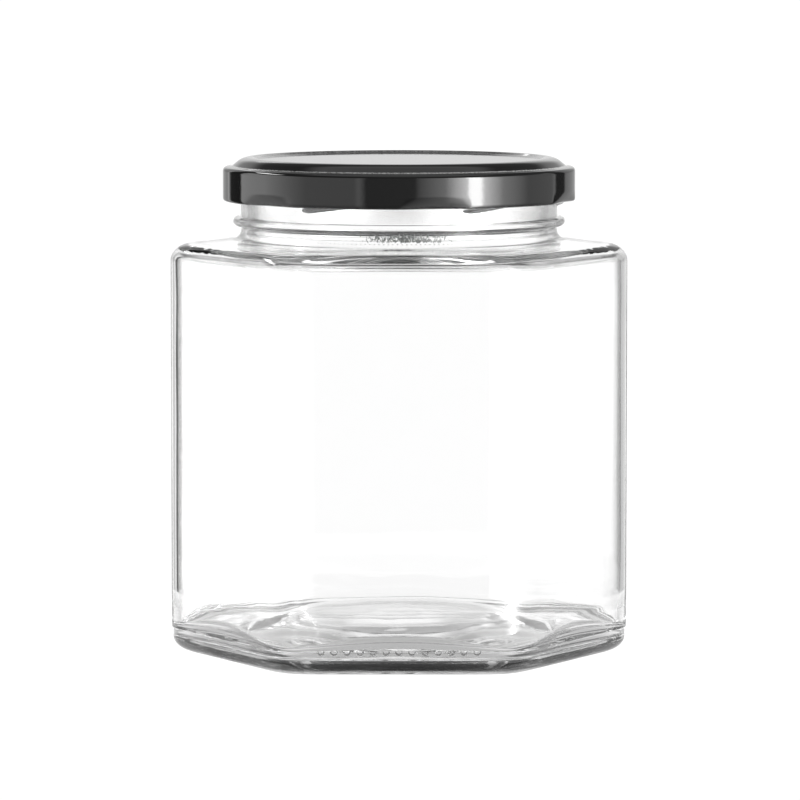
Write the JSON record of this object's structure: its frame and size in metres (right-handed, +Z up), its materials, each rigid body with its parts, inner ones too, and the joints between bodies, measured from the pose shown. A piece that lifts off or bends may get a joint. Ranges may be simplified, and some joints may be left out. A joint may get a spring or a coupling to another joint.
{
  "type": "glass preserving jar",
  "caption": "Hexagonal clear glass preserving jar, closed with a gloss black pressed steel twist-off cap.",
  "frame": {"origin": "under the middle of the base, on the plane that the jar stands on", "axes": "+Z up along the jar's axis, -Y out through one flat face of the body, +X through a corner of the body"},
  "size_m": [0.1102, 0.0992, 0.1196],
  "materials": {
    "glass": "clear, fire polished",
    "black_lacquer": "gloss"
  },
  "bodies": {
    "root": {"jar": "glass", "lid": "black_lacquer"}
  },
  "joints": []
}
